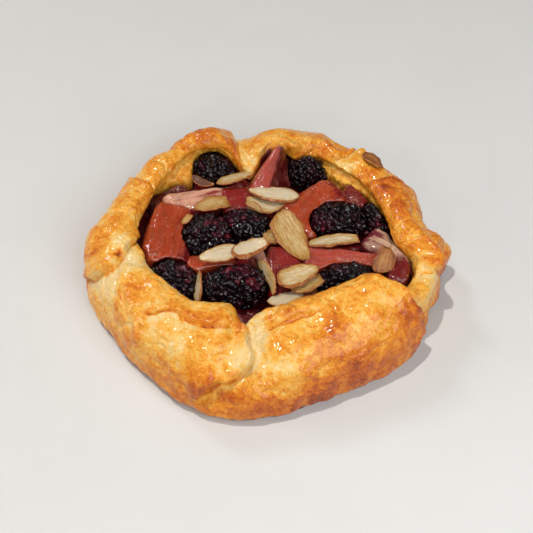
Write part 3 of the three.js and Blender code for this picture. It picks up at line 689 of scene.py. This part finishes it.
def outside_rings(angles):
    """The pastry from foot to lip: its points, how far it is baked with painted shade at seams,
    foot and one pit, and the lip's folds.
    """
    angle, share = np.meshgrid(angles, np.linspace(0, 1, CRUST_ROWS + 1))
    radius, height = smooth_surface(angle, share)
    plain = polar(angle, radius, height).reshape(-1, 3)
    wobble = [noise(plain, 9, seed) + 0.45 * noise(plain, 3.5, seed + 4) for seed in (31, 32)]
    angle_here = angle + ANGLE_WOBBLE * wobble[0].reshape(angle.shape)
    share_here = share + SHARE_WOBBLE * wobble[1].reshape(angle.shape)
    folds, browning_and_seam_shade = folds_at(angle_here, share_here)
    swells = spots(SWELLS + LUMPS, angle, share)
    random = crinkled(plain).reshape(angle.shape)
    relief = (folds + swells) * smooth_step(0, RELIEF_FROM, share) + random
    points = raised_along_normal(angle, radius, height, relief)
    bake = baking_and_foot_shade(angle, share, height) + browning_and_seam_shade + spots(PATCHES, angle_here, share_here)
    bake += 0.13 * random + 0.12 * noise(plain, 9, 41).reshape(angle.shape)
    return points, bake, folds[-1]


def wall_rings(angles, lip_points, lip_folds):
    """The inside of the shell, from just under the lip to the floor."""
    lip = around(RIM, angles)
    lip_height = around(RIM, angles, 2) - around(CREST, angles, 2)
    wall = around(WALL, angles)
    rings = np.stack([
        lip_points,
        polar(angles, lip + 0.6 - 0.5 * lip_folds, lip_height - LIP_DEPTHS[0]),
        polar(angles, lip + 0.35 * (wall - lip), lip_height - LIP_DEPTHS[1]),
        polar(angles, wall, lip_height - LIP_DEPTHS[2]),
        polar(angles, wall, WALL_FOOT),
        polar(angles, wall - 2, FLOOR + 1.5),
        polar(angles, wall - FLOOR_TUCK, FLOOR),
    ])
    fine = rounded(rings, WALL_STEPS)[1:]
    flat = fine.reshape(-1, 3)
    creases = abs(noise(flat, (4, 4, 9), 51)) + 0.5 * noise(flat, 2, 52) - 0.4
    inward = polar(angles, 0, 0) - polar(angles, 1, 0)
    fade = smooth_step(0, 2 * WALL_STEPS, np.arange(len(fine)))[:, None, None]
    return fine + creases.reshape(fine.shape[:2])[..., None] * inward * fade


def juice_stain(angles, rings):
    """Share of juice on the pastry's rings, only inwards of the crest."""
    level = rings[..., 2] + 1.6 * noise(rings.reshape(-1, 3), 5, 62).reshape(rings.shape[:2])
    for at, half_width, climb in BOILED_UP:
        level -= climb * bell(angles - at, half_width)
    inward = smooth_step(0.85, 0.92, np.arange(len(rings)) / CRUST_ROWS)[:, None]
    return (1 - smooth_step(*STAIN_HEIGHTS, level)) * inward


def make_crust():
    """One closed shell: rings from the foot over the crest to the floor under the filling."""
    angles = np.arange(CRUST_COLUMNS) * 360 / CRUST_COLUMNS
    outside, bake, lip_folds = outside_rings(angles)
    inside = wall_rings(angles, outside[-1], lip_folds)
    lip_bake = bake[-1] + 0.04
    inwards = np.arange(1, len(inside) + 1)[:, None] / (2.5 * WALL_STEPS)
    inner_bake = lip_bake + (0.2 - lip_bake) * smooth_step(0, 1, inwards)
    inner = np.broadcast_to(smooth_step(0.1, 0.9, inwards), inner_bake.shape)
    rings = np.concatenate([outside, inside])
    points = np.concatenate([rings.reshape(-1, 3), polar(0, 0, [0, FLOOR])])
    faces = ring_faces(len(rings), CRUST_COLUMNS)
    mesh_piece(
        "pastry_shell", points, faces, pastry_look(), "crust", "pastry",
        bake=np.append(np.concatenate([bake, inner_bake]).ravel(), [0.6, 0.2]),
        stain=np.append(juice_stain(angles, rings).ravel(), [0, 1]),
        inner=np.append(np.concatenate([0 * bake, inner]).ravel(), [0, 1]),
    )


# ---- the bed of cooked juice and soft fruit ----
BED_COLUMNS = 240
BED_ROWS = 56
BED_LEVEL = 13.0  # mean height between the pieces
BED_LUMPS = [(9, 1.5), (4, 0.9), (1.8, 0.4)]  # size and height
BED_CLEARANCE = 0.8  # to the wall
BED_FOOT = FLOOR + 0.4


def make_bed():
    """A closed lumpy bed from wall to wall, a little higher where it meets the wall."""
    angles = np.arange(BED_COLUMNS) * 360 / BED_COLUMNS
    angle, share = np.meshgrid(angles, np.linspace(1, 0.02, BED_ROWS))
    top = polar(angle, (around(WALL, angle) - BED_CLEARANCE) * share, 0).reshape(-1, 3)
    lumps = sum(height * noise(top, size, 71 + k) for k, (size, height) in enumerate(BED_LUMPS))
    top[:, 2] = BED_LEVEL + lumps + 1.5 * smooth_step(0.9, 1, share).ravel()
    foot = polar(angles, around(WALL, angles) - FLOOR_TUCK, BED_FOOT)
    points = np.concatenate([foot, top, polar(0, 0, [BED_FOOT, BED_LEVEL])])
    faces = ring_faces(BED_ROWS + 1, BED_COLUMNS)
    mesh_piece("juice_bed", points, faces, juice_look(), "filling", "juice")


# ---- berries ----
DRUPELET_SPACING = 2.45  # between neighbours' centres
DRUPELET_RADIUS = 1.75
DRUPELET_SINK = 1.35  # its centre lies this far under the berry's surface
DRUPELET_SIZES = (0.6, 1.3)  # smallest and largest, as shares of the usual size
PLACES_TRIED = 6000  # per berry, of which those with room around them are kept
CORE_SHARE = 0.84  # size of the core that fills the gaps between the drupelets

# Baked berries whose skin has gone red: node, and where the redness is about, as shares
# of the berry's half size from its middle.
REDDENED = {
    "berry_right": (-0.8, -0.5, 0.2), "berry_front": (0.5, 0.3, 0.9), "berry_left": (0.6, 0.2, 0.6),
    "berry_centre": (-0.7, 0.1, 0.6), "berry_far_right": (-0.3, -0.8, 0.2),
    "berry_front_left": (0.6, 0.3, 0.5),
}


def unit_rows(vectors):
    return vectors / np.linalg.norm(vectors, axis=1)[:, None]


def node_mesh(name):
    """Points in mm and triangles of a CAD node."""
    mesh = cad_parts[name].data
    points = np.array([v.co for v in mesh.vertices]) / MM
    mesh.calc_loop_triangles()
    triangles = np.array([t.vertices for t in mesh.loop_triangles])
    return points, triangles


def spread_on(points, triangles, spacing, rng):
    """Places scattered on a surface, the surface's normal at each, and each one's own size."""
    a, b, c = (points[triangles[:, k]] for k in range(3))
    cross = np.cross(b - a, c - a)
    area = np.linalg.norm(cross, axis=1)
    chosen = rng.choice(len(area), PLACES_TRIED, p=area / area.sum())
    u = np.sqrt(rng.random(PLACES_TRIED))[:, None]
    v = rng.random(PLACES_TRIED)[:, None]
    places = (1 - u) * a[chosen] + u * (1 - v) * b[chosen] + u * v * c[chosen]
    sizes = rng.uniform(*DRUPELET_SIZES, PLACES_TRIED)
    kept = []
    for k, place in enumerate(places):
        room = spacing * (sizes[kept] + sizes[k]) / 2
        if np.all(np.linalg.norm(places[kept] - place, axis=1) > room):
            kept.append(k)
    normals = cross[chosen[kept]] / area[chosen[kept]][:, None]
    return places[kept], normals, sizes[kept]


def unit_ball(subdivisions):
    """Points and triangles of a round ball of radius 1."""
    mesh = bpy.data.meshes.new("ball")
    ball = bmesh.new()
    bmesh.ops.create_icosphere(ball, subdivisions=subdivisions, radius=1)
    ball.to_mesh(mesh)
    ball.free()
    points = np.array([v.co for v in mesh.vertices])
    faces = np.array([p.vertices for p in mesh.polygons])
    bpy.data.meshes.remove(mesh)
    return points, faces


def drupelet(ball_points, place, direction, size, rng):
    """One shrunken drupelet: a dented ball, longer or flatter along its own direction."""
    stretch = 1 + rng.uniform(-0.3, 0.3) * (ball_points @ direction) ** 2
    dents = 0.4 * noise(ball_points + rng.uniform(0, 90, 3), 0.8)
    radius = DRUPELET_RADIUS * size * rng.uniform(0.85, 1.1)
    centre = place - direction * (DRUPELET_SINK * size + rng.uniform(-0.4, 0.5))
    return centre + ball_points * ((stretch + dents) * radius)[:, None]


def make_berry(node, seed, material, ball):
    """A core that follows the CAD berry, covered in drupelets."""
    rng = np.random.default_rng(seed)
    core, core_faces = node_mesh(node)
    middle = core.mean(axis=0)
    half_size = np.ptp(core, axis=0) / 2
    places, normals, sizes = spread_on(core, core_faces, DRUPELET_SPACING, rng)
    directions = unit_rows(normals + 1.5 * unit_rows(places - middle))
    ball_points, ball_faces = ball
    points = [middle + (core - middle) * CORE_SHARE]
    faces = [core_faces]
    tones = [np.full(len(core), 0.3)]
    red_at = np.array(REDDENED.get(node, (0, 0, -9)))
    for place, direction, size in zip(places, directions, sizes):
        faces.append(ball_faces + sum(map(len, points)))
        points.append(drupelet(ball_points, place, direction, size, rng))
        away = np.linalg.norm((place - middle) / half_size - red_at)
        redness = 0.7 * rng.beta(1.6, 2.4) + 0.5 * (away < 0.8) * rng.random()
        tones.append(np.full(len(ball_points), redness))
    mesh_piece(
        node + "_drupelets", np.concatenate(points), np.concatenate(faces).tolist(),
        material, node, "dark_berry", tone=np.concatenate(tones),
    )


def nodes_named(start):
    return sorted(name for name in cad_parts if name.startswith(start))


def make_berries():
    material = berry_look()
    ball = unit_ball(3)
    for seed, node in enumerate(nodes_named("berry_")):
        make_berry(node, seed, material, ball)


# ---- cut fruit ----
FRUIT_VOXEL = 0.5  # size of the faces, in mm
FRUIT_SOFTENING = 5  # rounds of smoothing that take the CAD solid's facets off
FIBRE = (13, 1.5, 1.5)  # size of the fibres along, across and through a piece
# The juice colour low on the pieces is partly juice and partly painted shade low between them.
JUICE_AND_SHADE_HEIGHTS = (9.5, 16)  # heights between which the juice's colour fades out

# Node: main colour, second colour, the way to the second colour's side, how strongly the
# two run into each other in streaks, and how lumpy the piece is in mm.
FRUIT = {
    "fruit_left_wedge": (ORANGE_RED, CRIMSON, (1, -0.2, -0.3), 0.4, 0.7),
    "fruit_far_left": (DEEP_RED, PLUM, (-1, 0, 0), 0.4, 1),
    "fruit_pink_slice": (RED_FLESH, PALE_PINK, (-0.5, 0.4, 0.8), 0.8, 0.9),
    "fruit_back_cube": (CRIMSON, RED_FLESH, (0, 0.4, 0.9), 0.5, 0.5),
    "fruit_back_wedge": (PINK, DEEP_RED, (1.3, -0.1, 0), 0.2, 0.35),
    "fruit_orange": (ORANGE_RED, CRIMSON, (0.9, 0.3, -0.2), 0.4, 0.6),
    "fruit_right_skin": (CRIMSON, PLUM, (0.3, -0.3, -1), 0.3, 0.8),
    "fruit_middle": (DEEP_RED, RED_FLESH, (0, 0, 1), 0.5, 0.6),
    "fruit_stub": (CRIMSON, RED_FLESH, (0.4, 0.4, 1), 0.8, 0.25),
    "fruit_stick": (ORANGE_RED, PINK, (0, 0.6, 0.4), 1.2, 0.5),
    "fruit_right_pale": (PLUM_RED, CREAM, (0.7, -0.2, 0.5), 0.7, 0.8),
    "fruit_right_crimson": (CRIMSON, CREAM, (-0.3, 1, -0.1), 0.5, 0.8),
    "fruit_red_bit": (CRIMSON, ORANGE_RED, (0, 0, 1), 0.4, 0.8),
    "fruit_pale_sliver": (PINK, PALE_PINK, (0, 0, 1), 0.6, 0.5),
    "fruit_front_bit": (DEEP_RED, CRIMSON, (0, 0, 1), 0.4, 0.8),
    "fruit_back_strip": (PINK, CRIMSON, (0, 0, -1), 0.4, 0.8),
}


def softened(node):
    """The CAD node's shape without its facets: points and faces in mm, and normals."""
    welded = bmesh.new()
    welded.from_mesh(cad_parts[node].data)
    bmesh.ops.remove_doubles(welded, verts=welded.verts, dist=0.001 * MM)
    mesh = bpy.data.meshes.new("source")
    welded.to_mesh(mesh)
    welded.free()
    source = bpy.data.objects.new("source", mesh)
    bpy.context.scene.collection.objects.link(source)
    remesh = source.modifiers.new("even", "REMESH")
    remesh.mode = "VOXEL"
    remesh.voxel_size = FRUIT_VOXEL * MM
    relax = source.modifiers.new("relax", "SMOOTH")
    relax.iterations = FRUIT_SOFTENING
    shaped = source.evaluated_get(bpy.context.evaluated_depsgraph_get()).to_mesh()
    points = np.array([v.co for v in shaped.vertices]) / MM
    normals = np.array([v.normal for v in shaped.vertices])
    faces = [tuple(p.vertices) for p in shaped.polygons]
    bpy.data.objects.remove(source)
    return points, faces, normals


def own_axes(points):
    """Middle of some points, and their long, middle and short directions as rows."""
    middle = points.mean(axis=0)
    directions = np.linalg.svd(points - middle, full_matrices=False)[2]
    return middle, directions


def make_fruit_piece(node, seed):
    """The CAD piece, soft and lumpy, with fibres along it and two colours."""
    main, second, toward, streaks, lumpy = FRUIT[node]
    points, faces, normals = softened(node)
    middle, directions = own_axes(points)
    local = (points - middle) @ directions.T
    fibres = noise(local, FIBRE, 80 + seed)
    lumps = noise(points, 8, 100 + seed) + 0.35 * noise(points, 3, 120 + seed)
    relief = 0.4 + lumpy * lumps + (0.1 + 0.12 * streaks) * fibres
    toward = np.array(toward) / np.linalg.norm(toward)
    offset = (points - middle) @ toward
    facing = 0.7 * normals @ toward + 0.6 * offset / abs(offset).max()
    level = points[:, 2] + 1.6 * noise(points, 4, 140 + seed)
    mesh_piece(
        node + "_flesh", points + normals * relief[:, None], faces,
        fruit_look(node, main, second), node, "fruit_flesh",
        second=smooth_step(-0.1, 0.8, facing + streaks * fibres),
        # Partly juice on the flesh, partly painted shade low between the pieces.
        deep=0.85 * (1 - smooth_step(*JUICE_AND_SHADE_HEIGHTS, level)),
        along=local[:, 0] * MM,
        across=local[:, 1] * MM,
        through=local[:, 2] * MM,
    )


def make_fruit():
    for seed, node in enumerate(FRUIT):
        make_fruit_piece(node, seed)


# ---- flaked almonds ----
FLAKE_ROWS = 34
FLAKE_COLUMNS = 15
FLAKE_THICKNESS = 0.85
FLAKE_TAPER = 0.26  # how much slimmer than the middle the slim end is
FLAKE_BOW = 0.05  # how far it bows, as a share of its length or width
FLAKE_WAVES = [(7, 0.45), (2.5, 0.12)]  # size and height

# Node: how brown it is from 0 to 1, how far it bends sideways as a share of its width, how
# much of its far end is broken off, and how wide a band of skin its edge shows, in mm.
FLAKES = {
    "almond_back": (0.26, 0.1, 0, 0.3),
    "almond_long": (0.1, 0.06, 0, 0.8),
    "almond_long_under": (0.2, -0.1, 0.12, 0.5),
    "almond_toasted": (0.4, 0.05, 0.2, 0.2),
    "almond_edge_middle": (0.18, 0.3, 0, 0.3),
    "almond_pair_left": (0.08, -0.15, 0, 0.5),
    "almond_pair_right": (0.04, 0.12, 0.08, 2.0),
    "almond_leaning": (0.41, 0.12, 0.06, 0.1),
    "almond_right": (0.2, -0.12, 0.15, 1.0),
    "almond_front": (0.27, 0.08, 0, 1.6),
    "almond_front_under": (0.4, 0.1, 0.1, 0.5),
    "almond_front_white": (0.0, -0.1, 0.15, 0.1),
    "almond_edge_left": (0.14, 0.2, 0.1, 0.3),
    "almond_edge_front": (0.2, 0.25, 0.05, 0.2),
    "almond_skin": (1.05, 0.3, 0, 0.3),
    "almond_front_skin": (0.75, 0.1, 0, 0.8),
    "almond_brown": (0.72, 0.15, 0.1, 0.6),
    "almond_tip": (0.3, 0, 0.25, 0.2),
    "almond_olive": (0.42, 0, 0.2, 0.2),
    "almond_rim": (0.8, 0.05, 0.1, 0.8),
}


def flake_frame(node):
    """Middle, size and directions of a CAD flake: along to its slimmer end, across, and up."""
    cad, _ = node_mesh(node)
    _, directions = own_axes(cad)
    if directions[2, 2] < 0:
        directions[2] *= -1
    local = cad @ directions.T
    middle = (local.min(axis=0) + local.max(axis=0)) / 2
    size = np.ptp(local, axis=0)
    x, y, _ = (local - middle).T
    if np.ptp(y[x > 0.2 * size[0]]) > np.ptp(y[x < -0.2 * size[0]]):
        directions[0] *= -1
        middle[0] *= -1
    return middle, size, directions


def flake_face(size, bend, broken, seed):
    """Middle layer of a flake as a grid, and each point's distance to the edge."""
    length, width, _ = size
    rows = np.cos(np.linspace(math.pi, 0, FLAKE_ROWS))
    t, w = np.meshgrid(rows, np.linspace(-1, 1, FLAKE_COLUMNS), indexing="ij")
    along = (t + 1) * (1 - broken) - 1
    rough = noise(np.stack([1.7 * t, 1.2 * w, 0 * t + seed], axis=-1).reshape(-1, 3), 0.6)
    ragged = 1 + 0.16 * rough.reshape(t.shape)
    outline = (1 - abs(along) ** 2.3).clip(0.004) ** 0.62
    half = width / 2 * outline * (1 - FLAKE_TAPER * along) * 1.06
    y = w * half * ragged + bend * width * (0.6 - t * t)
    z = FLAKE_BOW * length * (0.5 - t * t) * math.cos(2 * seed)
    z += FLAKE_BOW * width * w * w * math.sin(3 * seed)
    z += 0.06 * width * t * w * math.sin(5 * seed)
    edge = np.minimum((1 - abs(w)) * half, (1 - abs(t)) * length / 2)
    return np.stack([t * length / 2, y, z], axis=-1).reshape(-1, 3), edge.ravel()


def flake_faces():
    """Faces of a flake: an upper and a lower grid, and a row of points round the middle."""
    grid = np.arange(FLAKE_ROWS * FLAKE_COLUMNS).reshape(FLAKE_ROWS, FLAKE_COLUMNS)
    under = grid.size
    rim = [*grid[:-1, 0], *grid[-1, :-1], *grid[:0:-1, -1], *grid[0, :0:-1]]
    corners = grid[:-1, :-1], grid[1:, :-1], grid[1:, 1:], grid[:-1, 1:]
    faces = []
    for a, b, c, d in np.stack(corners, axis=-1).reshape(-1, 4).tolist():
        faces.append((a, b, c, d))
        faces.append((under + a, under + d, under + c, under + b))
    for k, (a, b) in enumerate(zip(rim, rim[1:] + rim[:1])):
        m, n = 2 * under + k, 2 * under + (k + 1) % len(rim)
        faces.append((int(a), m, n, int(b)))
        faces.append((m, int(under + a), int(under + b), n))
    return rim, faces


def make_flake(node, seed, material):
    """A thin wavy slice in its CAD node's place: two faces and a side of brown skin."""
    tone, bend, broken, skin = FLAKES[node]
    middle, size, directions = flake_frame(node)
    layer, edge = flake_face(size, bend, broken, seed)
    along, across = layer[:, 0] * MM, layer[:, 1] * MM
    layer = (layer + middle) @ directions
    waves = sum(height * noise(layer, wave, seed) for wave, height in FLAKE_WAVES)
    layer += directions[2] * waves[:, None]
    thickness = FLAKE_THICKNESS / 2 * (1 - 0.35 * (1 - smooth_step(0, 0.8, edge)))
    points = [layer + side * thickness[:, None] * directions[2] for side in (1, -1)]
    rim, faces = flake_faces()
    from_middle = layer - layer.mean(axis=0)
    points.append(layer[rim] + 0.2 * unit_rows(from_middle[rim]))
    fronting = 0.5 - from_middle[:, 1] / size[1]
    band = 1 - smooth_step(0.2, 1, edge / (1.8 * skin * fronting.clip(0.15, 1.2)))
    darker = tone + 0.2 * (1 - smooth_step(0, 1.6, edge)) - 0.14 * smooth_step(1.5, 3.2, edge)
    mesh_piece(
        node + "_flake", np.concatenate(points), faces, material, node, "almond",
        tone=np.concatenate([darker, darker, np.full(len(rim), 0.5)]),
        skin=np.concatenate([band, band, np.ones(len(rim))]),
        along=np.concatenate([along, along, along[rim]]) + seed,
        across=np.concatenate([across, across, across[rim]]),
    )


def make_flakes():
    material = almond_look()
    for seed, node in enumerate(nodes_named("almond_")):
        make_flake(node, seed, material)


# ---- the set: floor, light and camera ----
CAMERA_TARGET = (-0.7, 4.55, 0.0)
CAMERA_DISTANCE = 447.0
CAMERA_ELEVATION = 49.5
FOCAL_SHARE = 1000 / 533  # focal length over the width of the picture
SENSOR = 36.0
KEY_FROM = (-0.25, 0.09, 0.964)  # from above, a little left and behind


def make_floor():
    look = Look("floor")
    color = look.mix(look.noise(40, 4), (0.575, 0.573, 0.567), (0.61, 0.61, 0.605))
    normal = look.bump(look.noise(1.5, 3), 0.03)
    material = look.finish(color, look.between(look.noise(9), 0.3, 0.7, 0.55, 0.7), normal)
    bpy.ops.mesh.primitive_plane_add(size=6)
    floor = bpy.context.object
    floor.name = "floor"
    floor.data.materials.append(material)


def add_light(name, kind, toward, energy, color, **settings):
    light = bpy.data.lights.new(name, kind)
    light.energy = energy
    light.color = color
    for key, value in settings.items():
        setattr(light, key, value)
    lamp = bpy.data.objects.new(name, light)
    lamp.location = Vector(toward)
    lamp.rotation_euler = Vector(toward).to_track_quat("Z", "Y").to_euler()
    bpy.context.scene.collection.objects.link(lamp)


def make_light():
    add_light("key", "SUN", KEY_FROM, 1.6, (1.0, 0.95, 0.87), angle=math.radians(2))
    add_light("front", "AREA", (0.28, -0.4, 0.42), 2.9, (0.96, 0.985, 1.0), size=0.5)
    add_light("sparkle", "AREA", (-0.1, -0.62, 0.38), 0.5, (1.0, 0.97, 0.92), size=0.05)
    add_light("left", "AREA", (-0.6, -0.05, 0.28), 0.9, (1.0, 0.94, 0.86), size=0.22)
    add_light("window", "AREA", (-0.84, 1.0, 1.24), 7.0, (0.92, 0.96, 1.0), size=0.35)
    world = bpy.data.worlds.new("studio")
    bpy.context.scene.world = world
    world.use_nodes = True
    background = world.node_tree.nodes["Background"]
    background.inputs["Color"].default_value = (1.0, 0.97, 0.93, 1)
    background.inputs["Strength"].default_value = 0.115
    bpy.context.scene.view_settings.view_transform = "Standard"


def make_camera():
    data = bpy.data.cameras.new("camera")
    data.sensor_width = SENSOR
    data.lens = SENSOR * FOCAL_SHARE
    camera = bpy.data.objects.new("camera", data)
    lift = math.radians(CAMERA_ELEVATION)
    back = Vector((0, -math.cos(lift), math.sin(lift)))
    camera.location = (Vector(CAMERA_TARGET) + CAMERA_DISTANCE * back) * MM
    camera.rotation_euler = back.to_track_quat("Z", "Y").to_euler()
    bpy.context.scene.collection.objects.link(camera)
    bpy.context.scene.camera = camera


make_camera()
make_light()
make_floor()
make_crust()
make_bed()
make_berries()
make_fruit()
make_flakes()
